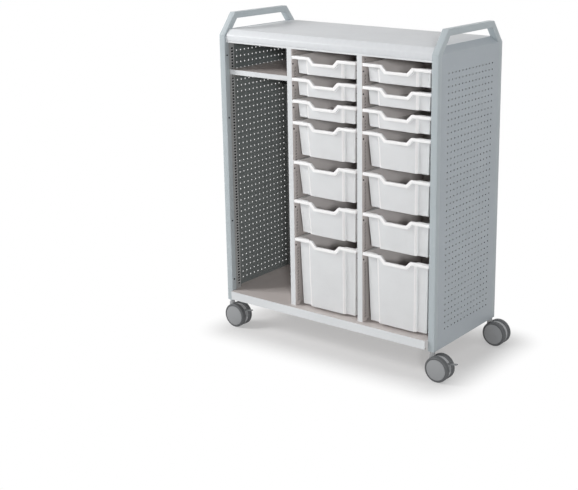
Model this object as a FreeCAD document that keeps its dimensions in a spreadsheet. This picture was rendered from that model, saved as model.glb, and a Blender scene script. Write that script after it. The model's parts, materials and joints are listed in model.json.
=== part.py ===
import FreeCAD, Part
import Sketcher
import math
import os
from types import SimpleNamespace

# Tote storage cabinet on four twin wheel casters, in millimetres.
# X runs to the right, Y to the back and Z up, and the floor is at Z zero.

doc = FreeCAD.newDocument("tote_cabinet")
sizes = doc.addObject("Spreadsheet::Sheet", "Sizes")

DRIVING_SIZES = [
    # whole cabinet
    ("cabinet_width", 1072),
    ("cabinet_depth", 484),
    ("post_height", 1168.4),
    ("floor_gap", 115),
    ("sheet", 1.5),
    ("fit", 0.5),
    ("overrun", 5),
    # side frames
    ("tube_width", 27),
    ("tube_depth", 25),
    ("tube_wall", 2),
    ("handle_rise", 88.3),
    ("handle_run", 70.7),
    # side panels
    ("band_rise", 24),
    ("band_run", 25),
    ("hole_pitch", 25.4),
    ("hole_diameter", 6.35),
    ("hole_column_count", 14),
    ("hole_row_count", 41),
    # worktop and top deck
    ("worktop_level", 1146),
    ("worktop_face", 22.5),
    ("worktop_bevel", 23),
    ("worktop_setback", 7),
    ("top_flange", 9),
    # base pan
    ("deck_level", 46.5),
    ("lip_height", 37),
    ("lip_proud", 15.5),
    ("lip_return", 12),
    ("lip_gap", 6),
    # dividers and slotted uprights
    ("divider_width", 24),
    ("divider_setback", 9.5),
    ("upright_depth", 32),
    ("slot_pitch", 12.7),
    ("slot_width", 11),
    ("slot_height", 6.5),
    ("slot_inset", 20),
    ("slot_margin", 21),
    # shelf and its clips
    ("shelf_level", 1021.5),
    ("shelf_lip", 20.5),
    ("shelf_setback", 19.5),
    ("clip_width", 52),
    ("clip_foot", 37),
    ("side_clip_width", 16),
    ("side_clip_foot", 10),
    ("clip_drop", 12.5),
    ("clip_depth", 45),
    ("clip_lead", 6),
    ("peg_reach", 6),
    # totes
    ("tote_gap", 5.65),
    ("tote_setback", 4),
    ("tote_length", 430),
    ("tote_wall", 2.5),
    ("rim_height", 12),
    ("rim_overhang", 14),
    ("front_overhang", 8),
    ("front_bow", 11),
    ("crease_share", 0.65),
    ("step_run", 5),
    ("dip_width", 138),
    ("dip_floor", 95),
    ("dip_depth", 22),
    ("dip_margin", 7),
    ("shallow_height", 71),
    ("shallow_draft", 5),
    ("shallow_pitch", 88.9),
    ("shallow_count", 3),
    ("deep_height", 141),
    ("deep_draft", 10),
    ("deep_pitch", 165.1),
    ("deep_count", 3),
    ("tall_height", 292),
    ("tall_draft", 8),
    ("first_rim", 1110.5),
    # tote runners and screws
    ("ledge_width", 16),
    ("runner_leg", 34),
    ("runner_setback", 2),
    ("slide_gap", 0.4),
    ("screw_drop", 34),
    ("screw_inset", 6),
    ("screw_radius", 1.9),
    ("screw_fit", 0.1),
    ("head_radius", 3.2),
    ("head_height", 2.4),
    ("post_screw_low", 95),
    ("post_screw_mid", 362),
    ("post_screw_upper", 817),
    ("post_screw_high", 1083),
    # casters
    ("caster_trail", 34),
    ("wheel_radius", 52.5),
    ("wheel_width", 24),
    ("wheel_spacing", 16),
    ("wheel_chamfer", 4),
    ("disc_radius", 43),
    ("disc_groove", 1.5),
    ("side_gap", 0.5),
    ("run_fit", 0.05),
    ("axle_radius", 4),
    ("axle_cap", 3),
    ("hood_radius", 48),
    ("hood_foot", 15),
    ("boss_radius", 10),
    ("boss_height", 10),
    ("stem_radius", 5.5),
    ("stem_depth", 33),
    ("stem_rise", 45),
    ("collar_height", 3),
    ("socket_height", 50),
    ("socket_fit", 0.1),
    # brake pedals
    ("pedal_reach", 27),
    ("pedal_width", 10),
    ("pedal_thick", 4.5),
    ("pivot_run", 28),
    ("pivot_rise", 22),
    ("pivot_radius", 3),
    ("pedal_lift", 10),
    ("notch_room", 14),
]
for row, (alias, number) in enumerate(DRIVING_SIZES, 1):
    sizes.set("A%d" % row, alias)
    sizes.set("B%d" % row, str(number))
    sizes.setAlias("B%d" % row, alias)
doc.recompute()
dim = SimpleNamespace(**{alias: float(sizes.get(alias)) for alias, number in DRIVING_SIZES})

nodes = []

# The wheels trail to the right, so the cabinet stands left of the middle of the whole.
CABINET_X = "(0 - Sizes.caster_trail - Sizes.pedal_reach / 2)"
HALF_WIDTH = "(Sizes.cabinet_width / 2)"
HALF_DEPTH = "(Sizes.cabinet_depth / 2)"
INNER_X = "(Sizes.cabinet_width / 2 - Sizes.tube_width)"
POST_X = "(Sizes.cabinet_width / 2 - Sizes.tube_width / 2)"
POST_Y = "(Sizes.cabinet_depth / 2 - Sizes.tube_depth / 2)"
BAY = "((Sizes.cabinet_width - 2 * Sizes.tube_width - 2 * Sizes.divider_width) / 3)"
DIVIDER_X = "(%s / 2 + Sizes.divider_width / 2)" % BAY
POST_SCREWS = ("post_screw_low", "post_screw_mid", "post_screw_upper", "post_screw_high")

half_width = dim.cabinet_width / 2
half_depth = dim.cabinet_depth / 2
inner_x = half_width - dim.tube_width
bay = (dim.cabinet_width - 2 * dim.tube_width - 2 * dim.divider_width) / 3
divider_x = bay / 2 + dim.divider_width / 2
divider_front = half_depth - dim.divider_setback
deck_underside = dim.worktop_level - dim.sheet
lean = dim.handle_run / dim.handle_rise


def vector(x, y, z):
    return FreeCAD.Vector(x, y, z)


def place(item, x="0", y="0", z="0"):
    """put an item at a point given from the cabinet's middle and the post ends"""
    item.setExpression("Placement.Base.x", "%s + %s" % (CABINET_X, x))
    item.setExpression("Placement.Base.y", y)
    item.setExpression("Placement.Base.z", "Sizes.floor_gap + %s" % z)


def node(item, label):
    item.Label = label
    nodes.append(item)
    return item


def shaped(label, shape, x="0", y="0", z="0"):
    """a piece whose form is worked out from the sheet's sizes"""
    item = doc.addObject("Part::Feature", label)
    item.Shape = shape
    place(item, x, y, z)
    return node(item, label)


def block(name, x, y, z):
    """a box between pairs of bounds"""
    item = doc.addObject("Part::Box", name)
    for side, (low, high) in zip(("Length", "Width", "Height"), (x, y, z)):
        item.setExpression(side, "(%s) - (%s)" % (high, low))
    for axis, (low, high) in zip("xyz", (x, y, z)):
        item.setExpression("Placement.Base." + axis, low)
    return item


def drum(name, radius, length, x, y, z, along=None):
    """a cylinder that starts at a point and runs up, or along Y"""
    item = doc.addObject("Part::Cylinder", name)
    item.setExpression("Radius", radius)
    item.setExpression("Height", length)
    if along == "y":
        item.Placement.Rotation = FreeCAD.Rotation(vector(1, 0, 0), -90)
    for axis, where in zip("xyz", (x, y, z)):
        item.setExpression("Placement.Base." + axis, where)
    return item


def joined(name, pieces):
    item = doc.addObject("Part::MultiFuse", name)
    item.Shapes = pieces
    return item


def less(name, base, tool):
    item = doc.addObject("Part::Cut", name)
    item.Base = base
    item.Tool = tool
    return item


def origin_plane(body, role):
    return [plane for plane in body.Origin.OriginFeatures if plane.Role == role][0]


def outline(body, name, role, corners):
    """a closed outline on one of the body's own planes, each corner tied to the sheet"""
    sketch = body.newObject("Sketcher::SketchObject", name)
    sketch.AttachmentSupport = [(origin_plane(body, role), "")]
    sketch.MapMode = "FlatFace"
    count = len(corners)
    turns = [2 * math.pi * i / count for i in range(count)]
    guess = [vector(math.cos(a), math.sin(a), 0) * dim.overrun for a in turns]
    for i in range(count):
        sketch.addGeometry(Part.LineSegment(guess[i], guess[(i + 1) % count]))
    for i in range(count):
        sketch.addConstraint(Sketcher.Constraint("Coincident", i, 2, (i + 1) % count, 1))
    for i, (across, up) in enumerate(corners):
        for kind, start, rule in (("DistanceX", guess[i].x, across), ("DistanceY", guess[i].y, up)):
            place_in_list = sketch.addConstraint(Sketcher.Constraint(kind, -1, 1, i, 1, start))
            sketch.setExpression("Constraints[%d]" % place_in_list, rule)
    return sketch


def both_ways(body, kind, name, sketch, length):
    """a pad or pocket that runs the same length to both sides of its sketch"""
    feature = body.newObject(kind, name)
    feature.Profile = sketch
    feature.SideType = "Symmetric"
    feature.setExpression("Length", length)
    sketch.Visibility = False
    return feature


def frame_edge(inset):
    """the bent line of a side frame, a given distance inside its outer line"""
    post = "Sizes.cabinet_depth / 2 - (%s)" % inset
    lean_angle = "atan(Sizes.handle_run / Sizes.handle_rise)"
    bend = "Sizes.post_height - (%s) * tan(%s / 2)" % (inset, lean_angle)
    corner = "Sizes.cabinet_depth / 2 - Sizes.handle_run - (%s) * tan((90 deg - %s) / 2)" % (inset, lean_angle)
    top = "Sizes.post_height + Sizes.handle_rise - (%s)" % inset
    return post, bend, corner, top


def frame_corners(outer, inner, foot):
    post, bend, corner, top = frame_edge(outer)
    corners = [("-(%s)" % post, foot), ("-(%s)" % post, bend), ("-(%s)" % corner, top)]
    corners += [(corner, top), (post, bend), (post, foot)]
    post, bend, corner, top = frame_edge(inner)
    corners += [(post, foot), (post, bend), (corner, top)]
    corners += [("-(%s)" % corner, top), ("-(%s)" % post, bend), ("-(%s)" % post, foot)]
    return corners


def side_frame(label, side):
    body = doc.addObject("PartDesign::Body", label)
    tube = outline(body, label + "_tube", "YZ_Plane", frame_corners("0", "Sizes.tube_depth", "0"))
    both_ways(body, "PartDesign::Pad", label + "_pad", tube, "Sizes.tube_width")
    wall = "Sizes.tube_wall"
    bore = frame_corners(wall, "Sizes.tube_depth - " + wall, "0 - Sizes.overrun")
    hollow = outline(body, label + "_bore", "YZ_Plane", bore)
    length = "Sizes.tube_width - 2 * " + wall
    both_ways(body, "PartDesign::Pocket", label + "_hollow", hollow, length)
    drilled = body.newObject("Sketcher::SketchObject", label + "_screws")
    drilled.AttachmentSupport = [(origin_plane(body, "YZ_Plane"), "")]
    drilled.MapMode = "FlatFace"
    for post in ("-" + POST_Y, POST_Y):
        for level in POST_SCREWS:
            hole = drilled.addGeometry(Part.Circle(vector(0, 0, 0), vector(0, 0, 1), dim.screw_radius))
            rules = (("DistanceX", post), ("DistanceY", "Sizes." + level))
            for kind, rule in rules:
                c = drilled.addConstraint(Sketcher.Constraint(kind, -1, 1, hole, 3, dim.overrun))
                drilled.setExpression("Constraints[%d]" % c, rule)
            c = drilled.addConstraint(Sketcher.Constraint("Radius", hole, dim.screw_radius))
            drilled.setExpression("Constraints[%d]" % c, "Sizes.screw_radius + Sizes.screw_fit")
    drill = body.newObject("PartDesign::Pocket", label + "_drill")
    drill.Profile = drilled
    drill.Reversed = side < 0
    drill.setExpression("Length", "Sizes.tube_width / 2 + Sizes.overrun")
    place(body, "%d * %s" % (side, POST_X))
    return node(body, label)


def pierced(corners, openings, push):
    """a flat plate with openings through it, which run round the other way to its outline"""
    outer = Part.makePolygon(corners + corners[:1])
    return Part.Face([outer] + openings).extrude(push)


def round_opening(centre, radius):
    return Part.Wire(Part.makeCircle(radius, centre, vector(-1, 0, 0)))


def square_opening(x, y, z, width, height):
    steps = ((-1, -1), (-1, 1), (1, 1), (1, -1), (-1, -1))
    return Part.makePolygon([vector(x, y + a * width / 2, z + b * height / 2) for a, b in steps])


def box(x, y, z):
    low = vector(x[0], y[0], z[0])
    return Part.makeBox(x[1] - x[0], y[1] - y[0], z[1] - z[0], low)


def across(shape):
    """the same shape on the other side of the middle, front to back"""
    return shape.mirror(vector(0, 0, 0), vector(0, 1, 0))


def side_panel(label, side):
    """perforated sheet between the posts, folded inwards below the grip"""
    face_x = side * half_width
    inside = vector(-side * dim.sheet, 0, 0)
    edge = half_depth - dim.tube_depth
    bend = dim.post_height - dim.tube_depth * math.tan(math.atan(lean) / 2)
    fold = edge - (dim.post_height - bend) * lean
    brow = edge - (dim.post_height + dim.band_rise - bend) * lean
    flat = [(-edge, 0), (edge, 0), (edge, bend), (fold, dim.post_height)]
    flat += [(-fold, dim.post_height), (-edge, bend)]
    column = (dim.hole_column_count - 1) * dim.hole_pitch / 2
    row = (dim.hole_row_count - 1) * dim.hole_pitch / 2
    openings = []
    for i in range(int(dim.hole_column_count)):
        for j in range(int(dim.hole_row_count)):
            y = i * dim.hole_pitch - column
            z = dim.post_height / 2 + j * dim.hole_pitch - row
            openings.append(round_opening(vector(face_x, y, z), dim.hole_diameter / 2))
    sheet = pierced([vector(face_x, y, z) for y, z in flat], openings, inside)
    top = dim.post_height + dim.band_rise
    band_x = side * (half_width - dim.band_run)
    band = [vector(face_x, -fold, dim.post_height), vector(face_x, fold, dim.post_height)]
    band += [vector(band_x, brow, top), vector(band_x, -brow, top)]
    slant = vector(-side * dim.band_rise, 0, -dim.band_run).normalize() * dim.sheet
    sheet = sheet.fuse(pierced(band, [], slant)).removeSplitter()
    return shaped(label, sheet)


def worktop():
    body = doc.addObject("PartDesign::Body", "worktop")
    back = "Sizes.cabinet_depth / 2 - Sizes.worktop_setback"
    front = "-(%s)" % back
    high = "Sizes.worktop_face + Sizes.worktop_bevel"
    corners = [(front, "0"), (front, "Sizes.worktop_face"), (front + " + Sizes.worktop_bevel", high)]
    corners += [(back + " - Sizes.worktop_bevel", high), (back, "Sizes.worktop_face"), (back, "0")]
    section = outline(body, "worktop_section", "YZ_Plane", corners)
    both_ways(body, "PartDesign::Pad", "worktop_pad", section, "2 * (%s - Sizes.fit)" % INNER_X)
    place(body, z="Sizes.worktop_level")
    return node(body, "worktop")


def top_deck():
    wide = ("-" + INNER_X, INNER_X)
    back = "Sizes.cabinet_depth / 2 - Sizes.divider_setback"
    under = "Sizes.worktop_level - Sizes.sheet"
    foot = "Sizes.worktop_level - Sizes.top_flange"
    rise = (foot, "Sizes.worktop_level")
    plate = block("top_plate", wide, ("-(%s)" % back, back), (under, "Sizes.worktop_level"))
    lip = ("-(%s)" % back, "Sizes.sheet - (%s)" % back)
    front = block("top_front_flange", wide, lip, rise)
    rear = block("top_rear_flange", wide, (back + " - Sizes.sheet", back), rise)
    deck = joined("top_deck", [plate, front, rear])
    place(deck)
    return node(deck, "top_deck")


def base_pan():
    half = "(%s - Sizes.lip_gap)" % INNER_X
    wide = ("-" + half, half)
    lip = "(Sizes.cabinet_depth / 2 + Sizes.lip_proud)"
    back = "(Sizes.cabinet_depth / 2 - Sizes.lip_gap)"
    low = "(Sizes.deck_level - Sizes.lip_height)"
    deck = ("Sizes.deck_level - Sizes.sheet", "Sizes.deck_level")
    rise = (low, "Sizes.deck_level")
    pieces = [block("pan_deck", wide, ("-" + lip, back), deck)]
    pieces.append(block("pan_lip", wide, ("-" + lip, "Sizes.sheet - " + lip), rise))
    folded = (low, low + " + Sizes.sheet")
    pieces.append(block("pan_lip_return", wide, ("-" + lip, "Sizes.lip_return - " + lip), folded))
    pieces.append(block("pan_rear_flange", wide, (back + " - Sizes.sheet", back), rise))
    reach = "(%s - Sizes.sheet)" % HALF_WIDTH
    run = "(Sizes.cabinet_depth / 2 - Sizes.tube_depth)"
    pieces.append(block("pan_wings", ("-" + reach, reach), ("-" + run, run), deck))
    for side, (low_x, high_x) in (("left", ("-" + reach, "Sizes.sheet - " + reach)),
                                  ("right", (reach + " - Sizes.sheet", reach))):
        pieces.append(block("pan_%s_flange" % side, (low_x, high_x), ("-" + run, run), rise))
    pan = joined("base_pan", pieces)
    place(pan)
    return node(pan, "base_pan")


def back_panel():
    front = "Sizes.cabinet_depth / 2 - Sizes.divider_setback - Sizes.sheet"
    depth = (front, front + " + Sizes.sheet")
    rise = ("Sizes.deck_level", "Sizes.worktop_level - Sizes.top_flange")
    edge = "(%s - Sizes.head_height - Sizes.fit)" % INNER_X
    panel = block("back_panel", ("-" + edge, edge), depth, rise)
    place(panel, "(-%s)" % edge, front, "Sizes.deck_level")
    return node(panel, "back_panel")


def divider_sheet(label, side):
    depth = "(Sizes.cabinet_depth / 2 - Sizes.divider_setback - 2 * Sizes.sheet)"
    rise = ("Sizes.deck_level", "Sizes.worktop_level - Sizes.sheet")
    panel = block(label, ("0", "Sizes.sheet"), ("-" + depth, depth), rise)
    place(panel, "%d * %s - Sizes.sheet / 2" % (side, DIVIDER_X), "-" + depth, "Sizes.deck_level")
    return node(panel, label)


def rim_levels():
    """height of each tote's rim and its kind, from the top of a column down"""
    level = dim.first_rim
    levels = []
    for kind, count, pitch in (("shallow", dim.shallow_count, dim.shallow_pitch),
                               ("deep", dim.deep_count, dim.deep_pitch), ("tall", 1, 0)):
        for i in range(int(count)):
            levels.append((kind, level))
            level -= pitch
    return levels


def slot_levels(top):
    count = int((top - dim.deck_level - 2 * dim.slot_margin) / dim.slot_pitch) + 1
    return [dim.deck_level + dim.slot_margin + i * dim.slot_pitch for i in range(count)]


def slotted(x, front, top, with_screws, push):
    """a slotted plate of an upright, its front edge towards the front"""
    back = front + dim.upright_depth
    corners = [vector(x, front, dim.deck_level), vector(x, back, dim.deck_level)]
    corners += [vector(x, back, top), vector(x, front, top)]
    middle = front + dim.slot_inset
    openings = [square_opening(x, middle, z, dim.slot_width, dim.slot_height) for z in slot_levels(top)]
    if with_screws:
        for kind, level in rim_levels():
            centre = vector(x, front + dim.screw_inset, level - dim.screw_drop)
            openings.append(round_opening(centre, dim.screw_radius + dim.screw_fit))
    return pierced(corners, openings, vector(push, 0, 0))


def divider_uprights(label, side, screws_left):
    """channels at the front and the back of a divider, slotted on both sides, notched for the deck's flange"""
    half = dim.divider_width / 2
    front = -divider_front
    left = slotted(-half, front, deck_underside, screws_left, dim.sheet)
    right = slotted(half, front, deck_underside, True, -dim.sheet)
    flange_foot = dim.worktop_level - dim.top_flange
    web = box((-half, half), (front, front + dim.sheet), (dim.deck_level, flange_foot))
    wide = half + dim.overrun
    notch = box((-wide, wide), (front - dim.overrun, front + dim.sheet), (flange_foot, dim.worktop_level))
    channel = web.fuse([left, right]).cut(notch).removeSplitter()
    rear = across(channel)
    rear.translate(vector(0, -dim.sheet, 0))
    pair = Part.makeCompound([channel, rear])
    return shaped(label, pair, "%d * %s" % (side, DIVIDER_X))


def side_uprights(label, side, with_screws):
    """channels behind the front post and before the rear post of a side"""
    top = dim.worktop_level - dim.top_flange
    front = dim.tube_depth - half_depth
    x = side * inner_x
    reach = side * (half_width - dim.sheet)
    plate = slotted(x, front, top, with_screws, side * dim.sheet)
    spread = (min(x, reach), max(x, reach))
    rise = (dim.deck_level, top)
    near = box(spread, (front, front + dim.sheet), rise)
    back = front + dim.upright_depth
    far = box(spread, (back - dim.sheet, back), rise)
    channel = plate.fuse([near, far]).removeSplitter()
    return shaped(label, Part.makeCompound([channel, across(channel)]))


def shelf():
    left = "(Sizes.fit - %s)" % INNER_X
    right = "(-%s - Sizes.divider_width / 2 - Sizes.fit)" % DIVIDER_X
    wide = (left, right)
    front = "(Sizes.divider_setback + Sizes.shelf_setback - Sizes.cabinet_depth / 2)"
    rear = "(Sizes.cabinet_depth / 2 - Sizes.divider_setback - 2 * Sizes.sheet)"
    low = "(Sizes.shelf_level - Sizes.shelf_lip)"
    rise = (low, "Sizes.shelf_level")
    plate = ("Sizes.shelf_level - Sizes.sheet", "Sizes.shelf_level")
    folded = (low, low + " + Sizes.sheet")
    pieces = [block("shelf_plate", wide, (front, rear), plate)]
    pieces.append(block("shelf_lip_face", wide, (front, front + " + Sizes.sheet"), rise))
    pieces.append(block("shelf_lip_return", wide, (front, front + " + Sizes.lip_return"), folded))
    pieces.append(block("shelf_rear_flange", wide, (rear + " - Sizes.sheet", rear), rise))
    pieces.append(block("shelf_left_flange", (left, left + " + Sizes.sheet"), (front, rear), rise))
    pieces.append(block("shelf_right_flange", (right + " - Sizes.sheet", right), (front, rear), rise))
    board = joined("bay_shelf", pieces)
    place(board)
    return node(board, "bay_shelf")


def shelf_clips():
    """wedge shaped clips that hook into the slots and carry the shelf at its corners"""
    top = dim.shelf_level - dim.shelf_lip
    low = top - dim.clip_drop
    level = [z for z in slot_levels(dim.worktop_level - dim.top_flange) if z < top - dim.slot_height / 2][-1]
    clips = []
    at_side = (1, -inner_x, dim.tube_depth - half_depth, dim.side_clip_width, dim.side_clip_foot)
    at_divider = (-1, -divider_x - dim.divider_width / 2, -divider_front, dim.clip_width, dim.clip_foot)
    for side, x, front, wide, foot in (at_side, at_divider):
        slot = front + dim.slot_inset
        corners = [(x, low), (x + side * foot, low), (x + side * wide, top), (x, top)]
        wedge = Part.makePolygon([vector(a, slot - dim.clip_lead, b) for a, b in corners + corners[:1]])
        clip = Part.Face(wedge).extrude(vector(0, dim.clip_depth, 0))
        hook = sorted((x, x - side * dim.peg_reach))
        half_y = dim.slot_width / 2 - dim.screw_fit
        half_z = dim.slot_height / 2 - dim.screw_fit
        clip = clip.fuse(box(hook, (slot - half_y, slot + half_y), (level - half_z, level + half_z)))
        clips.append(clip)
        rear = across(clip)
        if side < 0:
            rear.translate(vector(0, -dim.sheet, 0))
        clips.append(rear)
    return shaped("shelf_clips", Part.makeCompound(clips))


def tote_outline(half, front, bow, back, z):
    """plan of a tub with the middle of its front stepped forwards"""
    crease = half * dim.crease_share
    shoulder = crease + dim.step_run
    corners = [(-half, front + bow), (-shoulder, front + bow), (-crease, front)]
    corners += [(crease, front), (shoulder, front + bow), (half, front + bow)]
    corners += [(half, back), (-half, back)]
    return Part.makePolygon([vector(x, y, z) for x, y in corners + corners[:1]])


def tote_form(height, draft):
    """open tub with a turned down rim and a finger dip in its front"""
    wall = dim.tote_wall
    half_rim = bay / 2 - dim.tote_gap
    half = half_rim - dim.rim_overhang
    front = dim.front_overhang
    back = dim.tote_length - dim.rim_overhang

    def tub(inset, floor):
        upper = tote_outline(half - inset, front + inset, dim.front_bow, back - inset, 0)
        shrink = inset + draft
        lower = tote_outline(half - shrink, front + shrink, dim.front_bow, back - shrink, floor)
        return Part.makeLoft([upper, lower], True, True)

    rim = box((-half_rim, half_rim), (0, dim.tote_length), (-dim.rim_height, 0))
    under = half_rim - wall
    rim = rim.cut(box((-under, under), (wall, dim.tote_length - wall), (-dim.rim_height, -wall)))
    form = rim.fuse(tub(0, -height))
    wide = dim.dip_width / 2
    narrow = dim.dip_floor / 2
    margin = dim.dip_margin
    low = -dim.dip_depth - dim.rim_height
    band = [(-wide - margin, 0), (-wide - margin, -dim.rim_height), (-narrow - margin, low)]
    band += [(narrow + margin, low), (wide + margin, -dim.rim_height), (wide + margin, 0)]
    band_wire = Part.makePolygon([vector(x, 0, z) for x, z in band + band[:1]])
    form = form.fuse(Part.Face(band_wire).extrude(vector(0, front + wall, 0)))
    form = form.cut(tub(wall, wall - height))
    slope = (wide - narrow) / dim.dip_depth
    over = wide + slope * dim.overrun
    dip = [(-over, dim.overrun), (-narrow, -dim.dip_depth), (narrow, -dim.dip_depth), (over, dim.overrun)]
    dip_wire = Part.makePolygon([vector(x, -dim.overrun, z) for x, z in dip + dip[:1]])
    depth = front + wall + 2 * dim.overrun
    form = form.cut(Part.Face(dip_wire).extrude(vector(0, depth, 0)))
    return form.removeSplitter()


def totes():
    forms = {}
    for kind in ("shallow", "deep", "tall"):
        height = getattr(dim, kind + "_height")
        forms[kind] = tote_form(height, getattr(dim, kind + "_draft"))
    front = "Sizes.tote_setback - " + HALF_DEPTH
    right_bay = "(%s + Sizes.divider_width)" % BAY
    for column, x in (("middle", "0"), ("right", right_bay)):
        rule = "Sizes.first_rim"
        for i, (kind, level) in enumerate(rim_levels(), 1):
            shaped("tote_%s_%d" % (column, i), forms[kind], x, front, rule)
            if kind != "tall":
                rule += " - Sizes.%s_pitch" % kind


def runner(x, side, level):
    """angle fixed to the uprights that carries one side of a tote's rim"""
    end = -upright_front(x) - dim.runner_setback
    ledge = level - dim.rim_height - dim.slide_gap
    low = ledge - dim.runner_leg
    corners = [vector(x, -end, low), vector(x, end, low), vector(x, end, ledge), vector(x, -end, ledge)]
    openings = []
    for y in screw_rows(x):
        openings.append(round_opening(vector(x, y, level - dim.screw_drop), dim.screw_radius + dim.screw_fit))
    leg = pierced(corners, openings, vector(side * dim.sheet, 0, 0))
    tip = x + side * dim.ledge_width
    flange = box((min(x, tip), max(x, tip)), (-end, end), (ledge - dim.sheet, ledge))
    return leg.fuse(flange).removeSplitter()


def upright_front(x):
    """front edge of the upright that a face belongs to"""
    if abs(x) < inner_x - dim.overrun:
        return -divider_front
    return dim.tube_depth - half_depth


def screw_rows(x):
    """front and rear screw positions on the uprights of a face"""
    front = upright_front(x)
    behind = dim.sheet if abs(x) < inner_x - dim.overrun else 0
    return [front + dim.screw_inset, -front - dim.screw_inset - behind]


def screw(x, y, z, side, grip):
    """round headed screw, its head proud of a face and its shank through it"""
    turn = vector(side, 0, 0)
    head = Part.makeCylinder(dim.head_radius, dim.head_height, vector(x, y, z), turn)
    shank = Part.makeCylinder(dim.screw_radius, grip, vector(x, y, z), turn * -1)
    return head.fuse(shank).removeSplitter()


def bay_faces():
    """each face that carries runners, with the side that looks into the bay"""
    gap = divider_x - dim.divider_width / 2
    return {"middle": ((-gap, 1), (gap, -1)), "right": ((gap + dim.divider_width, 1), (inner_x, -1))}


def runners_and_screws():
    grip = 2 * dim.sheet + dim.overrun
    screws = []
    for column, faces in bay_faces().items():
        angles = []
        for x, side in faces:
            for kind, level in rim_levels():
                angles.append(runner(x, side, level))
                for y in screw_rows(x):
                    screws.append(screw(x + side * dim.sheet, y, level - dim.screw_drop, side, grip))
        shaped("%s_bay_runners" % column, Part.makeCompound(angles))
    shaped("runner_screws", Part.makeCompound(screws))
    levels = [getattr(dim, name) for name in POST_SCREWS]
    post_y = half_depth - dim.tube_depth / 2
    grip = dim.tube_wall + dim.overrun
    posts = [(side * inner_x, y, -side) for side in (-1, 1) for y in (-post_y, post_y)]
    heads = [screw(x, y, z, turn, grip) for x, y, turn in posts for z in levels]
    shaped("post_screws", Part.makeCompound(heads))


def caster(label, x_side, y_side, with_pedal):
    """one twin wheel caster: stem, hood, axle, two wheels and, in front, a brake pedal"""
    here = (CABINET_X + " + %d * %s" % (x_side, POST_X), "%d * %s" % (y_side, POST_Y))
    axle_x = "(%s + Sizes.caster_trail)" % here[0]
    middle = "(%s)" % here[1]

    stem = drum(label + "_pin", "Sizes.stem_radius", "Sizes.stem_depth + Sizes.stem_rise",
                here[0], here[1], "Sizes.floor_gap - Sizes.stem_depth")
    collar = drum(label + "_collar", "Sizes.boss_radius", "Sizes.collar_height",
                  here[0], here[1], "Sizes.floor_gap - Sizes.collar_height")
    node(joined(label + "_stem", [stem, collar]), label + "_stem")

    half = "(Sizes.wheel_spacing / 2 - Sizes.side_gap)"
    across_y = ("%s - %s" % (middle, half), "%s + %s" % (middle, half))
    disc = drum(label + "_hood_disc", "Sizes.hood_radius", "2 * " + half,
                axle_x, across_y[0], "Sizes.wheel_radius", "y")
    boss_top = "(Sizes.floor_gap - Sizes.collar_height - Sizes.fit)"
    neck_x = ("%s - Sizes.boss_radius" % here[0], "%s + Sizes.boss_radius" % here[0])
    boss_foot = boss_top + " - Sizes.boss_height"
    neck = block(label + "_hood_neck", neck_x, across_y, ("Sizes.wheel_radius", boss_foot + " + Sizes.fit"))
    boss = drum(label + "_hood_boss", "Sizes.boss_radius", "Sizes.boss_height", here[0], here[1], boss_foot)
    solid = joined(label + "_hood_solid", [disc, neck, boss])
    bore = drum(label + "_hood_bore", "Sizes.stem_radius + Sizes.run_fit", "Sizes.stem_depth + Sizes.overrun",
                here[0], here[1], "Sizes.floor_gap - Sizes.stem_depth - Sizes.fit")
    seat = drum(label + "_hood_seat", "Sizes.axle_radius", "2 * %s + 2 * Sizes.overrun" % half,
                axle_x, across_y[0] + " - Sizes.overrun", "Sizes.wheel_radius", "y")
    wide = ("%s - 2 * Sizes.hood_radius" % axle_x, "%s + 2 * Sizes.hood_radius" % axle_x)
    over = (across_y[0] + " - Sizes.overrun", across_y[1] + " + Sizes.overrun")
    foot = block(label + "_hood_foot", wide, over, ("0 - Sizes.overrun", "Sizes.hood_foot"))
    tools = [bore, seat, foot]
    if with_pedal:
        pivot = ("(%s + Sizes.pivot_run)" % axle_x, "(Sizes.wheel_radius + Sizes.pivot_rise)")
        cheek = "(Sizes.pedal_width / 2 + Sizes.side_gap)"
        room = ("%s - Sizes.notch_room / 2" % pivot[0], "%s + 2 * Sizes.hood_radius" % axle_x)
        rise = ("%s - 2 * Sizes.notch_room" % pivot[1], "%s + Sizes.notch_room / 2" % pivot[1])
        tools.append(block(label + "_pedal_notch", room, (middle + " - " + cheek, middle + " + " + cheek), rise))
        tools.append(drum(label + "_pivot_bore", "Sizes.pivot_radius + Sizes.run_fit", "2 * %s" % half,
                          pivot[0], across_y[0], pivot[1], "y"))
    node(less(label + "_hood", solid, joined(label + "_hood_tools", tools)), label + "_hood")

    reach = "(Sizes.wheel_spacing / 2 + Sizes.wheel_width - Sizes.axle_cap)"
    node(drum(label + "_axle", "Sizes.axle_radius", "2 * " + reach,
              axle_x, "%s - %s" % (middle, reach), "Sizes.wheel_radius", "y"), label + "_axle")
    for name, turn in (("front", 180), ("rear", 0)):
        wheel("%s_wheel_%s" % (label, name), axle_x, middle, turn)
    if with_pedal:
        pedal(label + "_pedal", pivot, middle, half)


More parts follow.
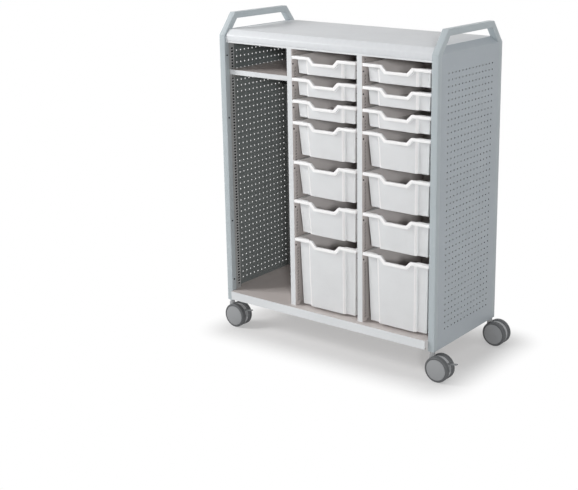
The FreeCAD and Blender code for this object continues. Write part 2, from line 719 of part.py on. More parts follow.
def wheel(label, x, y, turn):
    body = doc.addObject("PartDesign::Body", label)
    near = "Sizes.wheel_spacing / 2"
    far = near + " + Sizes.wheel_width"
    bore = "Sizes.axle_radius + Sizes.run_fit"
    deep = far + " - Sizes.axle_cap + Sizes.side_gap"
    rim = "Sizes.wheel_radius - Sizes.wheel_chamfer"
    shoulder = far + " - Sizes.wheel_chamfer"
    ring = "Sizes.disc_radius + Sizes.disc_groove"
    trench = far + " - Sizes.disc_groove"
    profile = [(bore, near), (rim, near), ("Sizes.wheel_radius", near + " + Sizes.wheel_chamfer")]
    profile += [("Sizes.wheel_radius", shoulder), (rim, far), (ring, far), (ring, trench)]
    profile += [("Sizes.disc_radius", trench), ("Sizes.disc_radius", far), ("0", far), ("0", deep), (bore, deep)]
    section = outline(body, label + "_section", "XY_Plane", profile)
    turned = body.newObject("PartDesign::Revolution", label + "_turned")
    turned.Profile = section
    turned.ReferenceAxis = (section, ["V_Axis"])
    turned.Angle = 360
    body.Placement.Rotation = FreeCAD.Rotation(vector(0, 0, 1), turn)
    body.setExpression("Placement.Base.x", x)
    body.setExpression("Placement.Base.y", y)
    body.setExpression("Placement.Base.z", "Sizes.wheel_radius")
    return node(body, label)


def pedal(label, pivot, middle, half):
    """brake pedal that turns on its own trunnion between the hood's cheeks"""
    body = doc.addObject("PartDesign::Body", label)
    tip = "(Sizes.wheel_radius + Sizes.pedal_reach - Sizes.pivot_run)"
    thick = "Sizes.pedal_thick / 2"
    sole = [("-(%s)" % thick, "-(%s)" % thick), (tip, "Sizes.pedal_lift - " + thick)]
    sole += [(tip, "Sizes.pedal_lift + " + thick), ("-(%s)" % thick, thick)]
    sketch = outline(body, label + "_outline", "XZ_Plane", sole)
    both_ways(body, "PartDesign::Pad", label + "_lever", sketch, "Sizes.pedal_width")
    round_sketch = body.newObject("Sketcher::SketchObject", label + "_trunnion_circle")
    round_sketch.AttachmentSupport = [(origin_plane(body, "XZ_Plane"), "")]
    round_sketch.MapMode = "FlatFace"
    round_sketch.addGeometry(Part.Circle(vector(0, 0, 0), vector(0, 0, 1), dim.pivot_radius))
    round_sketch.addConstraint(Sketcher.Constraint("Coincident", 0, 3, -1, 1))
    c = round_sketch.addConstraint(Sketcher.Constraint("Radius", 0, dim.pivot_radius))
    round_sketch.setExpression("Constraints[%d]" % c, "Sizes.pivot_radius")
    both_ways(body, "PartDesign::Pad", label + "_trunnion", round_sketch, "2 * %s - 2 * Sizes.side_gap" % half)
    body.setExpression("Placement.Base.x", pivot[0])
    body.setExpression("Placement.Base.y", middle)
    body.setExpression("Placement.Base.z", pivot[1])
    return node(body, label)


def caster_sockets():
    """plugs in the four post ends that take the caster stems"""
    half_x = dim.tube_width / 2 - dim.tube_wall - dim.socket_fit
    half_y = dim.tube_depth / 2 - dim.tube_wall - dim.socket_fit
    post_x = half_width - dim.tube_width / 2
    post_y = half_depth - dim.tube_depth / 2
    plugs = []
    for x in (-post_x, post_x):
        for y in (-post_y, post_y):
            plug = box((x - half_x, x + half_x), (y - half_y, y + half_y), (0, dim.socket_height))
            bore = Part.makeCylinder(dim.stem_radius + dim.run_fit, dim.socket_height, vector(x, y, 0))
            plugs.append(plug.cut(bore))
    return shaped("caster_sockets", Part.makeCompound(plugs))


for name, side in (("left", -1), ("right", 1)):
    side_frame(name + "_side_frame", side)
    side_panel(name + "_side_panel", side)
    divider_sheet(name + "_divider_sheet", side)
    divider_uprights(name + "_divider_uprights", side, side > 0)
    side_uprights(name + "_side_uprights", side, side > 0)
worktop()
top_deck()
base_pan()
back_panel()
shelf()
shelf_clips()
totes()
runners_and_screws()
caster_sockets()
for end, y_side in (("front", -1), ("rear", 1)):
    for name, x_side in (("left", -1), ("right", 1)):
        caster("caster_%s_%s" % (end, name), x_side, y_side, end == "front")

doc.recompute()
faults = []
for item in doc.Objects:
    if "Invalid" in item.State or "Error" in item.State:
        faults.append(item.Name)
for item in nodes:
    if item.Shape.isNull() or not item.Shape.isValid() or not item.Shape.Solids:
        faults.append(item.Label)
if faults:
    raise RuntimeError("pieces with faults: " + ", ".join(faults))

os.makedirs("parts", exist_ok=True)
for item in nodes:
    item.Shape.exportStep("parts/%s.step" % item.Label)
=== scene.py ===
import json
import math

import bpy
from mathutils import Matrix, Vector

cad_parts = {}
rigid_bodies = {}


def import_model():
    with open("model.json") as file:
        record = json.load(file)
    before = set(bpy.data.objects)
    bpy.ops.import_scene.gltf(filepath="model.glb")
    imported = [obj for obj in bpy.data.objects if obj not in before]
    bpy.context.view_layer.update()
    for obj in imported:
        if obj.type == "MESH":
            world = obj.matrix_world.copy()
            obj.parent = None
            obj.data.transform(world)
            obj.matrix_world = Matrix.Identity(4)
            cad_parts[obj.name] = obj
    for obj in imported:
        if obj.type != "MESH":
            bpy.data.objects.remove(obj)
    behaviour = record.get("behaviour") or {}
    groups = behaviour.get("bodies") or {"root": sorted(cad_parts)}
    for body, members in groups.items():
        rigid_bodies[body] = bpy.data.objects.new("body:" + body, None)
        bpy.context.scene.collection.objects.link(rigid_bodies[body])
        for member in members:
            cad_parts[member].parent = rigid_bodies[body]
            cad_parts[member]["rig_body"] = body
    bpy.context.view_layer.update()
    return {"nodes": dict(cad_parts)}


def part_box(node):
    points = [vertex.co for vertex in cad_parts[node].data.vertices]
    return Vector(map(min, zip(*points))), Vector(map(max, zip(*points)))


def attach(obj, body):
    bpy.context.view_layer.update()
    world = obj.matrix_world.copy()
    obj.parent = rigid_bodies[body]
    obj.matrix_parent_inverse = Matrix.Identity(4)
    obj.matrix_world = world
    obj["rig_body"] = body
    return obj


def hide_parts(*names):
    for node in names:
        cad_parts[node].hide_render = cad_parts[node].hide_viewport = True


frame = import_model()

nodes = frame["nodes"]

# Photograph: its frame and the camera that took it, in pixels, degrees and metres.
PHOTO_WIDTH = 578
PHOTO_HEIGHT = 490
FOCAL_PIXELS = 1160.5
CENTRE_PIXEL = (370.0, 200.0)
SENSOR_WIDTH = 36.0
VIEW_AZIMUTH = 35.014
VIEW_ELEVATION = 15.145
CABINET_MIDDLE = Vector((-0.0475, 0.0, 0.6992))
MIDDLE_ACROSS = -0.04992
MIDDLE_UP = 0.09712
MIDDLE_AWAY = 4.8863
VIEW_DEPTH = 100.0

# Floor and light.
FLOOR_SIZE = 40.0
FLOOR_PAINT = 0.7
# Near the footprint the floor takes less plain white. This is a painted shade around the cabinet, on top of
# its real shadow, that fades out over the reach.
FOOTPRINT = (0.5, 0.26, 0.0)
NEAR_GLOW = 0.32
GLOW_REACH = 0.2
SKY_LIGHT = 0.14
SKY_COLOUR = (1.0, 0.94, 0.92, 1.0)
LAMP_AIM = Vector((0.0, 0.0, 0.7))

# Lamps: name, place, width and height in metres, power in watts.
LAMPS = (
    ("key_softbox", (-4.0, -2.7, 3.2), 2.2, 2.2, 215),
    ("front_softbox", (6.1, -7.18, 2.9), 1.0, 1.0, 392),
    ("side_softbox", (2.6, 0.4, 3.4), 1.8, 1.8, 22),
    ("top_softbox", (0.0, 1.0, 3.6), 2.0, 2.0, 9),
    ("back_softbox", (-0.6, 4.4, 0.85), 2.4, 0.6, 60),
)

# Mesh work, in metres and degrees.
WELD = 0.00001
NEAR = 0.0002
FLAT_ANGLE = 0.5
SMOOTH_ANGLE = 35.0
RISING_SHARE = 0.8

# Totes, in metres. The creases, painted lighter as a highlight, lie in a share of the half width, where
# faces turn this far sideways.
RIM_HEIGHT = 0.012
SKIRT_DROP = RIM_HEIGHT / 10
FRONT_OVERHANG = 0.008
STEP_DEPTH = 0.011
TOTE_SIDE = 0.014
TOTE_DRAFT = {"shallow": 0.005, "deep": 0.010, "tall": 0.008}
TUB_ROUND = 0.004
CREASE_ROUND = 0.007
RIM_ROUND = 0.0011
CREASE_ZONE = 0.8
CREASE_TURN = (0.1, 0.85)
TOTE_KINDS = ["shallow"] * 3 + ["deep"] * 3 + ["tall"]
COLUMNS = ("middle", "right")

# Frames, sheets, worktop and casters, in metres. A skin is the depth that still counts as a face.
TUBE_ROUND = 0.0028
PANEL_SHEET = 0.0015
PANEL_SKIN = 0.0002
PANEL_FOLD = 0.026
FRONT_SKIN = 0.0006
CHANNEL_WEB = 0.0017
CHANNEL_DEPTH = 0.032
LONG_EDGE = 0.010
WORKTOP_ROUND = 0.0022
TREAD_ROUND = 0.0016
DISC_ROUND = 0.0009
DISC_RADIUS = 0.043
DISC_MARGIN = 0.003

# Finishes: roughness, reflection and the share of light that goes into milky plastic.
COAT_ROUGHNESS = 0.42
STEEL_ROUGHNESS = 0.3
DULL_ROUGHNESS = 0.8
DULL_SHEEN = 0.05
MILKY_SHARE = 0.6


def linear(red, green, blue):
    """colour as seen on a screen, 0 to 255, as the light that it stands for"""
    def one(level):
        share = level / 255
        if share <= 0.04045:
            return share / 12.92
        return ((share + 0.055) / 1.055) ** 2.4
    return (one(red), one(green), one(blue), 1.0)


def set_camera():
    azimuth = math.radians(VIEW_AZIMUTH)
    elevation = math.radians(VIEW_ELEVATION)
    back = Vector((math.sin(azimuth) * math.cos(elevation),
                   -math.cos(azimuth) * math.cos(elevation), math.sin(elevation)))
    right = Vector((math.cos(azimuth), math.sin(azimuth), 0))
    up = back.cross(right)
    place = CABINET_MIDDLE - right * MIDDLE_ACROSS - up * MIDDLE_UP + back * MIDDLE_AWAY
    data = bpy.data.cameras.new("photo_camera")
    camera = bpy.data.objects.new("photo_camera", data)
    bpy.context.scene.collection.objects.link(camera)
    turn = Matrix((right, up, back)).transposed().to_4x4()
    camera.matrix_world = Matrix.Translation(place) @ turn
    data.sensor_width = SENSOR_WIDTH
    data.lens = FOCAL_PIXELS * SENSOR_WIDTH / PHOTO_WIDTH
    data.shift_x = (PHOTO_WIDTH / 2 - CENTRE_PIXEL[0]) / PHOTO_WIDTH
    data.shift_y = (CENTRE_PIXEL[1] - PHOTO_HEIGHT / 2) / PHOTO_WIDTH
    data.clip_end = VIEW_DEPTH
    bpy.context.scene.camera = camera


def seen_directly(tree):
    """one where a ray comes from the camera, a mirror or glass, and zero elsewhere"""
    rays = tree.nodes.new("ShaderNodeLightPath")
    either = tree.nodes.new("ShaderNodeMath")
    either.operation = "MAXIMUM"
    any_of = tree.nodes.new("ShaderNodeMath")
    any_of.operation = "MAXIMUM"
    tree.links.new(rays.outputs["Is Camera Ray"], either.inputs[0])
    tree.links.new(rays.outputs["Is Transmission Ray"], either.inputs[1])
    tree.links.new(either.outputs[0], any_of.inputs[0])
    tree.links.new(rays.outputs["Is Glossy Ray"], any_of.inputs[1])
    return any_of.outputs[0]


def set_light():
    scene = bpy.context.scene
    scene.view_settings.view_transform = "Standard"
    world = bpy.data.worlds.new("studio")
    scene.world = world
    world.use_nodes = True
    tree = world.node_tree
    tree.nodes.clear()
    out = tree.nodes.new("ShaderNodeOutputWorld")
    soft = tree.nodes.new("ShaderNodeBackground")
    soft.inputs["Color"].default_value = SKY_COLOUR
    soft.inputs["Strength"].default_value = SKY_LIGHT
    white = tree.nodes.new("ShaderNodeBackground")
    white.inputs["Color"].default_value = (1, 1, 1, 1)
    white.inputs["Strength"].default_value = 1.0
    mix = tree.nodes.new("ShaderNodeMixShader")
    tree.links.new(seen_directly(tree), mix.inputs["Fac"])
    tree.links.new(soft.outputs[0], mix.inputs[1])
    tree.links.new(white.outputs[0], mix.inputs[2])
    tree.links.new(mix.outputs[0], out.inputs["Surface"])
    for lamp in LAMPS:
        add_lamp(*lamp)


def add_lamp(name, place, width, height, power):
    data = bpy.data.lights.new(name, "AREA")
    data.shape = "RECTANGLE"
    data.size = width
    data.size_y = height
    data.energy = power
    lamp = bpy.data.objects.new(name, data)
    bpy.context.scene.collection.objects.link(lamp)
    lamp.location = place
    aim = LAMP_AIM - Vector(place)
    lamp.rotation_mode = "QUATERNION"
    lamp.rotation_quaternion = aim.to_track_quat("-Z", "Y")


def white_share_past_painted_shade(tree):
    """share of plain white in the floor, which rises with the distance from the cabinet's footprint; near
    it the floor shows its real shadow and also a painted shade that greys the floor around the cabinet
    """
    where = tree.nodes.new("ShaderNodeTexCoord").outputs["Object"]
    for operation, value in (("ABSOLUTE", None), ("SUBTRACT", FOOTPRINT), ("MAXIMUM", (0, 0, 0))):
        step = tree.nodes.new("ShaderNodeVectorMath")
        step.operation = operation
        if value:
            step.inputs[1].default_value = value
        tree.links.new(where, step.inputs[0])
        where = step.outputs["Vector"]
    away = tree.nodes.new("ShaderNodeVectorMath")
    away.operation = "LENGTH"
    tree.links.new(where, away.inputs[0])
    rise = tree.nodes.new("ShaderNodeMapRange")
    rise.interpolation_type = "SMOOTHSTEP"
    rise.inputs["From Min"].default_value = 0.0
    rise.inputs["From Max"].default_value = GLOW_REACH
    rise.inputs["To Min"].default_value = NEAR_GLOW
    rise.inputs["To Max"].default_value = 1.0
    tree.links.new(away.outputs["Value"], rise.inputs["Value"])
    return rise.outputs["Result"]


def add_floor():
    bpy.ops.object.select_all(action="DESELECT")
    bpy.ops.mesh.primitive_plane_add(size=FLOOR_SIZE, location=(0, 0, 0))
    floor = bpy.context.object
    floor.name = "floor"
    material = bpy.data.materials.new("pale_floor")
    material.use_nodes = True
    tree = material.node_tree
    tree.nodes.clear()
    out = tree.nodes.new("ShaderNodeOutputMaterial")
    paint = tree.nodes.new("ShaderNodeBsdfDiffuse")
    paint.inputs["Color"].default_value = (FLOOR_PAINT, FLOOR_PAINT, FLOOR_PAINT, 1)
    glow = tree.nodes.new("ShaderNodeEmission")
    glow.inputs["Color"].default_value = (1, 1, 1, 1)
    glow.inputs["Strength"].default_value = 1.0
    share = tree.nodes.new("ShaderNodeMath")
    share.operation = "MULTIPLY"
    mix = tree.nodes.new("ShaderNodeMixShader")
    tree.links.new(seen_directly(tree), share.inputs[0])
    tree.links.new(white_share_past_painted_shade(tree), share.inputs[1])
    tree.links.new(share.outputs[0], mix.inputs["Fac"])
    tree.links.new(paint.outputs[0], mix.inputs[1])
    tree.links.new(glow.outputs[0], mix.inputs[2])
    tree.links.new(mix.outputs[0], out.inputs["Surface"])
    floor.data.materials.append(material)


class Finish:
    """a material under construction: a shader and the nodes that feed it"""

    def __init__(self, name, colour, roughness):
        self.material = bpy.data.materials.new(name)
        self.material.use_nodes = True
        self.tree = self.material.node_tree
        self.shader = self.tree.nodes["Principled BSDF"]
        self.shader.inputs["Roughness"].default_value = roughness
        self.where = self.add("ShaderNodeTexCoord").outputs["Object"]
        self.colour = colour
        self.roughness = roughness

    def add(self, kind):
        return self.tree.nodes.new(kind)

    def link(self, start, end):
        self.tree.links.new(start, end)

    def noise(self, scale, detail=2.0):
        node = self.add("ShaderNodeTexNoise")
        node.inputs["Scale"].default_value = scale
        node.inputs["Detail"].default_value = detail
        self.link(self.where, node.inputs["Vector"])
        return node.outputs["Fac"]

    def between(self, value, low, high, start=0.3, end=0.7):
        """part of the value's range, stretched to run between two numbers"""
        node = self.add("ShaderNodeMapRange")
        node.inputs["From Min"].default_value = start
        node.inputs["From Max"].default_value = end
        node.inputs["To Min"].default_value = low
        node.inputs["To Max"].default_value = high
        self.link(value, node.inputs["Value"])
        return node.outputs["Result"]

    def mix(self, share, first, second):
        """two colours, each a fixed one or another node's, mixed by a share"""
        node = self.add("ShaderNodeMix")
        node.data_type = "RGBA"
        for socket, colour in (("A", first), ("B", second)):
            if isinstance(colour, tuple):
                node.inputs[socket].default_value = colour
            else:
                self.link(colour, node.inputs[socket])
        self.link(share, node.inputs["Factor"])
        return node.outputs["Result"]

    def mottle(self, scale, spread):
        """colour that wanders a little lighter and darker over the surface"""
        dark = tuple(c * (1 - spread) for c in self.colour[:3]) + (1.0,)
        light = tuple(min(1.0, c * (1 + spread)) for c in self.colour[:3]) + (1.0,)
        self.paint(self.mix(self.between(self.noise(scale, 4.0), 0.0, 1.0), dark, light))

    def scuffs(self, scale, colour, share):
        """sparse marks of handling in another colour"""
        spots = self.between(self.noise(scale, 6.0), 0.0, share, 0.62, 0.8)
        self.paint(self.mix(spots, self.painted, colour))

    def paint(self, colour):
        self.painted = colour
        self.link(colour, self.shader.inputs["Base Color"])

    def rub(self, scale, spread):
        """polish that wanders over the surface"""
        value = self.between(self.noise(scale, 3.0), self.roughness - spread, self.roughness + spread)
        self.link(value, self.shader.inputs["Roughness"])

    def compare(self, axis, operation, place):
        """one on one side of a plane, and zero on the other"""
        split = self.add("ShaderNodeSeparateXYZ")
        self.link(self.where, split.inputs["Vector"])
        side = self.add("ShaderNodeMath")
        side.operation = operation
        self.link(split.outputs[axis], side.inputs[0])
        side.inputs[1].default_value = place
        return side.outputs[0]

    def beyond(self, axis, place):
        return self.compare(axis, "GREATER_THAN", place)

    def short_of(self, axis, place):
        return self.compare(axis, "LESS_THAN", place)

    def within(self, axis, start, end):
        return self.both(self.beyond(axis, start), self.short_of(axis, end))

    def both(self, first, second):
        node = self.add("ShaderNodeMath")
        node.operation = "MULTIPLY"
        self.link(first, node.inputs[0])
        self.link(second, node.inputs[1])
        return node.outputs[0]

    def grain(self, scale, height, strength):
        """fine relief"""
        bump = self.add("ShaderNodeBump")
        bump.inputs["Strength"].default_value = strength
        bump.inputs["Distance"].default_value = height
        self.link(self.noise(scale, 2.0), bump.inputs["Height"])
        self.link(bump.outputs["Normal"], self.shader.inputs["Normal"])


def fresh_coat(name, colour):
    """powder coat with marks of handling, before parts of it are painted over"""
    finish = Finish(name, colour, COAT_ROUGHNESS)
    finish.mottle(6.0, 0.03)
    finish.scuffs(45.0, linear(225, 226, 226), 0.12)
    return finish


def worn_coat(finish):
    """the polish and grain of powder coat"""
    finish.rub(14.0, 0.06)
    finish.grain(900.0, 0.0002, 0.25)
    return finish.material


def powder_coat(name, colour):
    return worn_coat(fresh_coat(name, colour))


def panel_coat(name, node, colour, shaded_colour, hole_shade_colour):
    """powder coat on a side panel, with painted shade behind its outer face below the fold, and painted
    dark shade in its holes
    """
    low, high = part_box(node)
    finish = fresh_coat(name, colour)
    if low.x < 0:
        behind = finish.beyond("X", low.x + PANEL_SKIN)
        ahead = finish.short_of("X", low.x + PANEL_SHEET - PANEL_SKIN)
    else:
        behind = finish.short_of("X", high.x - PANEL_SKIN)
        ahead = finish.beyond("X", high.x - PANEL_SHEET + PANEL_SKIN)
    inner = finish.both(behind, finish.short_of("Z", high.z - PANEL_FOLD))
    # the inner face is painted darker, as shade
    finish.paint(finish.mix(inner, finish.painted, shaded_colour))
    # the walls of the holes are painted near black, as shade
    finish.paint(finish.mix(finish.both(inner, ahead), finish.painted, hole_shade_colour))
    return worn_coat(finish)


def body_coat(node, colour, shaded_colour, hollow_shade_colour=None):
    """powder coat on a folded sheet, in its lit colour on the front face, with painted warm shade behind
    it, and painted dark shade in the hollow of a channel
    """
    low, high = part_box(node)
    finish = fresh_coat(node + "_powder_coat", colour)
    behind = finish.beyond("Y", low.y + FRONT_SKIN)
    # behind the front face the paint takes its darker, warmer copy, as painted shade
    finish.paint(finish.mix(behind, finish.painted, shaded_colour))
    if hollow_shade_colour:
        # the hollow of the channel is painted near black, as shade
        hollow = finish.both(finish.within("X", low.x + PANEL_SKIN, high.x - PANEL_SKIN),
                             finish.within("Y", low.y + CHANNEL_WEB, high.y - CHANNEL_WEB))
        finish.paint(finish.mix(hollow, finish.painted, hollow_shade_colour))
    return worn_coat(finish)


def upright_coat(node, colour, hollow_shade_colour):
    """powder coat on the uprights of a side, with painted dark shade in the hollows behind their slots"""
    low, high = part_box(node)
    finish = fresh_coat(node + "_powder_coat", colour)
    outside = finish.painted
    if low.x < 0:
        hollow = finish.short_of("X", high.x - PANEL_SKIN)
    else:
        hollow = finish.beyond("X", low.x + PANEL_SKIN)
    # the hollows behind the slots are painted near black, as shade
    finish.paint(finish.mix(hollow, outside, hollow_shade_colour))
    channel = CHANNEL_DEPTH - FRONT_SKIN
    between = finish.within("Y", low.y + channel, high.y - channel)
    finish.paint(finish.mix(between, finish.painted, outside))
    return worn_coat(finish)


def moulded_plastic(name, colour, roughness, depth=0.0, sheen=0.5):
    """plastic with a fine grain, as shiny as its sheen; light goes to a depth into a milky one"""
    finish = Finish(name, colour, roughness)
    finish.shader.inputs["Specular IOR Level"].default_value = sheen
    if depth:
        finish.shader.inputs["Subsurface Weight"].default_value = MILKY_SHARE
        finish.shader.inputs["Subsurface Radius"].default_value = (depth, depth, depth)
        finish.shader.inputs["Subsurface Scale"].default_value = 1.0
    finish.mottle(9.0, 0.025)
    finish.scuffs(70.0, tuple(c * 0.9 for c in colour[:3]) + (1.0,), 0.3)
    finish.rub(30.0, 0.05)
    finish.grain(1500.0, 0.0001, 0.3)
    return finish.material


def clip_coat(name, colour, side_colour):
    """dull black plastic, and painted steel on the clips that hang on the side panel's uprights"""
    low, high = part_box("shelf_clips")
    finish = Finish(name, colour, DULL_ROUGHNESS)
    finish.shader.inputs["Specular IOR Level"].default_value = DULL_SHEEN
    finish.mottle(9.0, 0.025)
    at_side = finish.short_of("X", (low.x + high.x) / 2)
    finish.paint(finish.mix(at_side, finish.painted, side_colour))
    finish.rub(30.0, 0.05)
    finish.grain(1500.0, 0.0001, 0.3)
    return finish.material


def tread_rubber(name, colour):
    finish = Finish(name, colour, 0.68)
    finish.mottle(25.0, 0.06)
    finish.scuffs(160.0, linear(150, 148, 145), 0.25)
    finish.rub(60.0, 0.08)
    finish.grain(2400.0, 0.0001, 0.4)
    return finish.material


def laminate(name, colour):
    finish = Finish(name, colour, 0.45)
    finish.mottle(60.0, 0.02)
    finish.rub(8.0, 0.05)
    finish.grain(2200.0, 0.0001, 0.2)
    return finish.material


def plated_steel(name, colour):
    finish = Finish(name, colour, STEEL_ROUGHNESS)
    finish.shader.inputs["Metallic"].default_value = 1.0
    finish.mottle(40.0, 0.06)
    finish.rub(120.0, 0.08)
    finish.grain(600.0, 0.00005, 0.3)
    return finish.material


def dress(material, names):
    for name in names:
        mesh = nodes[name].data
        mesh.materials.clear()
        mesh.materials.append(material)


def alone(piece):
    """only this piece is selected and worked on"""
    bpy.ops.object.select_all(action="DESELECT")
    piece.select_set(True)
    bpy.context.view_layer.objects.active = piece


def whole_copy(node, name):
    """a copy of a solid with its loose triangles merged into whole faces"""
    piece = bpy.data.objects.new(name, nodes[node].data.copy())
    bpy.context.scene.collection.objects.link(piece)
    alone(piece)
    bpy.ops.mesh.customdata_custom_splitnormals_clear()
    bpy.ops.object.mode_set(mode="EDIT")
    bpy.ops.mesh.select_all(action="SELECT")
    bpy.ops.mesh.remove_doubles(threshold=WELD)
    bpy.ops.mesh.dissolve_limited(angle_limit=math.radians(FLAT_ANGLE))
    bpy.ops.mesh.select_all(action="DESELECT")
    bpy.ops.object.mode_set(mode="OBJECT")
    return piece


def round_edges(piece, chosen, width, rounds):
    """bevel the edges that a rule chooses by their two ends"""
    alone(piece)
    mesh = piece.data
    bpy.ops.object.mode_set(mode="EDIT")
    bpy.ops.mesh.select_mode(type="EDGE")
    bpy.ops.mesh.select_all(action="DESELECT")
    bpy.ops.object.mode_set(mode="OBJECT")
    for edge in mesh.edges:
        start, end = [mesh.vertices[i].co for i in edge.vertices]
        edge.select = chosen(start, end)
    bpy.ops.object.mode_set(mode="EDIT")
    bpy.ops.mesh.bevel(offset=width, segments=rounds, affect="EDGES", clamp_overlap=True)
    bpy.ops.mesh.select_all(action="DESELECT")
    bpy.ops.object.mode_set(mode="OBJECT")


def coat(piece, materials, which=None):
    """give a piece its finishes, and each face the one that a rule picks"""
    piece.data.materials.clear()
    for material in materials:
        piece.data.materials.append(material)
    for face in piece.data.polygons:
        corners = [piece.data.vertices[i].co for i in face.vertices]
        face.material_index = which(face, corners) if which else 0


def fit(piece, node):
    """finish a piece and put it in the place of its solid"""
    alone(piece)
    bpy.ops.object.shade_smooth_by_angle(angle=math.radians(SMOOTH_ANGLE))
    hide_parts(node)
    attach(piece, nodes[node]["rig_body"])


def make_tote(node, kind):
    """a tub with rounded corners, a rounded step in its front and a soft edged rim"""
    piece = whole_copy(node, node + "_moulding")
    low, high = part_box(node)
    middle = (low.x + high.x) / 2
    half = (high.x - low.x) / 2
    height = high.z - low.z
    tub_half = half - TOTE_SIDE
    tub_back = high.y - TOTE_SIDE
    skirt = high.z - SKIRT_DROP

    def inset(point):
        return TOTE_DRAFT[kind] * (high.z - point.z) / height

    def front_depth(point):
        """distance behind the face of the raised middle of the front"""
        return point.y - low.y - FRONT_OVERHANG - inset(point)

    def on_middle(point):
        return point.z < skirt and abs(front_depth(point)) < NEAR

    def on_tub(point):
        """on the outer face of the tub: its front, a side or its back"""
        step = abs(front_depth(point) - STEP_DEPTH)
        side = abs(tub_half - inset(point) - abs(point.x - middle))
        back = abs(tub_back - inset(point) - point.y)
        return on_middle(point) or point.z < skirt and min(step, side, back) < NEAR

    def rising(start, end):
        length = (start - end).length
        return abs(start.z - end.z) > length * RISING_SHARE and length > RIM_HEIGHT

    def crease_edge(start, end):
        return rising(start, end) and on_middle(start) and on_middle(end)

    def tub_edge(start, end):
        if not (on_tub(start) and on_tub(end)) or crease_edge(start, end):
            return False
        return rising(start, end) or max(start.z, end.z) < low.z + NEAR

    def rim_edge(start, end):
        if start.y < low.y + NEAR and end.y < low.y + NEAR:
            return True
        if min(start.z, end.z) < high.z - NEAR:
            return False
        sides = [abs(abs(p.x - middle) - half) < NEAR for p in (start, end)]
        return all(sides) or min(start.y, end.y) > high.y - NEAR

    round_edges(piece, crease_edge, CREASE_ROUND, 4)
    round_edges(piece, tub_edge, TUB_ROUND, 3)
    round_edges(piece, rim_edge, RIM_ROUND, 2)
    return piece


def tote_face(low, high):
    """finish zero for the outside of the tub, one for the rim and the creases, painted lighter as a
    highlight, two for the inside, painted warmer as shade
    """
    middle = (low + high) / 2
    zone = CREASE_ZONE * (high.x - middle.x)

    def on_crease(face):
        """on the rounded edge of the raised middle, which is painted lighter as a highlight"""
        turned = CREASE_TURN[0] < abs(face.normal.x) < CREASE_TURN[1]
        return turned and face.center.y < middle.y and abs(face.center.x - middle.x) < zone

    def which(face, corners):
        place = face.center
        # the rim is painted lighter, as a highlight
        if place.y < low.y + FRONT_OVERHANG - NEAR or place.z > high.z - RIM_HEIGHT:
            return 1
        # the inside faces take the warmer paint, as shade
        if face.normal.dot(middle - place) > 0:
            return 2
        return 1 if on_crease(face) else 0
    return which


def add_totes():
    models = {}
    for column in COLUMNS:
        for i, kind in enumerate(TOTE_KINDS, 1):
            node = "tote_%s_%d" % (column, i)
            low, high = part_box(node)
            if kind not in models:
                piece = make_tote(node, kind)
                models[kind] = (piece, low)
            else:
                model, start = models[kind]
                piece = bpy.data.objects.new(node + "_moulding", model.data.copy())
                bpy.context.scene.collection.objects.link(piece)
                piece.data.transform(Matrix.Translation(low - start))
            coat(piece, [tote_plastic, rim_highlight_plastic, warm_shade_plastic], tote_face(low, high))
            fit(piece, node)


def add_side_frames():
    for node in ("left_side_frame", "right_side_frame"):
        piece = whole_copy(node, node + "_tube")
        low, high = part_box(node)

        def tube_edge(start, end):
            if (start - end).length < LONG_EDGE or max(start.z, end.z) < low.z + NEAR:
                return False
            left = max(start.x, end.x) < low.x + NEAR
            return left or min(start.x, end.x) > high.x - NEAR

        round_edges(piece, tube_edge, TUBE_ROUND, 3)
        coat(piece, [frame_paint])
        fit(piece, node)


def add_worktop():
    piece = whole_copy("worktop", "worktop_slab")
    round_edges(piece, lambda start, end: True, WORKTOP_ROUND, 3)
    coat(piece, [worktop_laminate])
    fit(piece, "worktop")


def add_wheels():
    for node in [name for name in nodes if "_wheel_" in name]:
        piece = whole_copy(node, node + "_tyre")
        low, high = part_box(node)
        axle = (low + high) / 2
        outer = low.y if node.endswith("_front") else high.y

        def reach(point):
            return math.hypot(point.x - axle.x, point.z - axle.z)

        def tread_edge(start, end):
            same = abs(reach(start) - reach(end)) < NEAR and abs(start.y - end.y) < NEAR
            return same and reach(start) > DISC_RADIUS + DISC_MARGIN

        def disc_edge(start, end):
            at_disc = max(abs(reach(p) - DISC_RADIUS) for p in (start, end)) < NEAR * 2
            return at_disc and max(abs(p.y - outer) for p in (start, end)) < NEAR

        def which(face, corners):
            return 1 if max(reach(corner) for corner in corners) < DISC_RADIUS + NEAR else 0

        round_edges(piece, tread_edge, TREAD_ROUND, 2)
        round_edges(piece, disc_edge, DISC_ROUND, 2)
        coat(piece, [tread, disc_plastic], which)
        fit(piece, node)


PANEL_GREY = linear(170, 178, 184)
# Painted shade: the inner face of the side panels, and the walls of their holes.
PANEL_IN_SHADE = linear(112, 118, 118)
HOLE_SHADE = linear(28, 29, 30)
UPRIGHT_GREY = linear(156, 159, 159)
# Painted dark shade in the hollows behind the slots of the uprights.
UPRIGHT_HOLLOW_SHADE = linear(24, 26, 29)
# Body paint comes in two copies: a lit one for the front faces, and a darker, warmer one that is painted
# shade.
BODY_FRONT = linear(214, 217, 219)
BODY_IN_SHADE = linear(200, 193, 190)
# Painted dark shade in the hollows of the divider channels.
BODY_HOLLOW_SHADE = linear(30, 29, 28)
DULL_BLACK = linear(7, 7, 8)

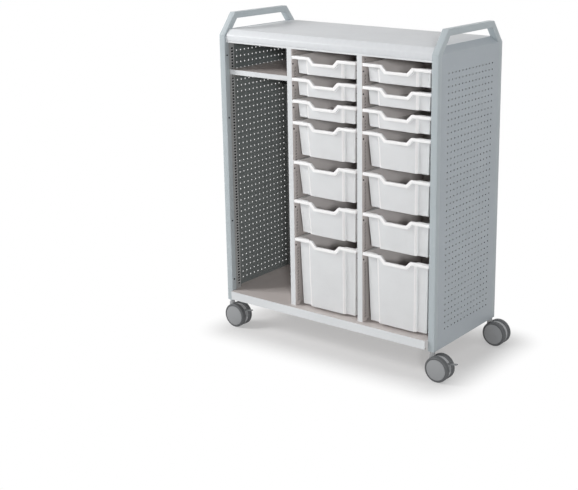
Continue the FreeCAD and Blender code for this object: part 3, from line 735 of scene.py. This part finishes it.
frame_paint = powder_coat("frame_powder_coat", linear(174, 183, 187))
shaded_body_paint = powder_coat("body_powder_coat_in_shade", BODY_IN_SHADE)
worktop_laminate = laminate("worktop_laminate", linear(213, 216, 219))
tote_plastic = moulded_plastic("tote_plastic", linear(230, 233, 235), 0.4, 0.01)
# Painted shade: the inside of the totes is painted warmer than the tote plastic.
warm_shade_plastic = moulded_plastic("tote_inner_plastic", linear(234, 229, 227), 0.5)
# Painted highlight: the rims and crease rounds of the totes are whiter than the tub.
rim_highlight_plastic = moulded_plastic("tote_rim_plastic", linear(250, 250, 251), 0.35, 0.004)
socket_plastic = moulded_plastic("socket_plastic", DULL_BLACK, DULL_ROUGHNESS, sheen=DULL_SHEEN)
clip_paint = clip_coat("shelf_clip_coat", DULL_BLACK, linear(126, 127, 125))
hood_plastic = moulded_plastic("caster_hood_plastic", linear(172, 174, 176), 0.45)
pedal_plastic = moulded_plastic("brake_pedal_plastic", linear(128, 130, 132), 0.5)
disc_plastic = moulded_plastic("caster_disc_plastic", linear(146, 148, 150), 0.45)
tread = tread_rubber("caster_tread_rubber", linear(88, 90, 92))
screw_steel = plated_steel("screw_steel", linear(60, 60, 62))
stem_steel = plated_steel("stem_steel", linear(190, 192, 194))

for side in ("left", "right"):
    panel = side + "_side_panel"
    uprights = side + "_side_uprights"
    channels = side + "_divider_uprights"
    dress(frame_paint, [side + "_side_frame"])
    dress(panel_coat(side + "_panel_powder_coat", panel, PANEL_GREY, PANEL_IN_SHADE, HOLE_SHADE), [panel])
    dress(upright_coat(uprights, UPRIGHT_GREY, UPRIGHT_HOLLOW_SHADE), [uprights])
    dress(body_coat(channels, BODY_FRONT, BODY_IN_SHADE, BODY_HOLLOW_SHADE), [channels])
    dress(shaded_body_paint, [side + "_divider_sheet"])
for name in ("top_deck", "base_pan", "bay_shelf"):
    dress(body_coat(name, BODY_FRONT, BODY_IN_SHADE), [name])
dress(shaded_body_paint, ["back_panel", "middle_bay_runners", "right_bay_runners"])
dress(worktop_laminate, ["worktop"])
dress(socket_plastic, ["caster_sockets"])
dress(clip_paint, ["shelf_clips"])
dress(screw_steel, ["runner_screws", "post_screws"])
dress(tote_plastic, [name for name in nodes if name.startswith("tote_")])
dress(disc_plastic, [name for name in nodes if "_wheel_" in name])
dress(hood_plastic, [name for name in nodes if name.endswith("_hood")])
dress(pedal_plastic, [name for name in nodes if name.endswith("_pedal")])
dress(stem_steel, [name for name in nodes if name.endswith(("_stem", "_axle"))])

add_side_frames()
add_worktop()
add_totes()
add_wheels()

set_camera()
set_light()
add_floor()
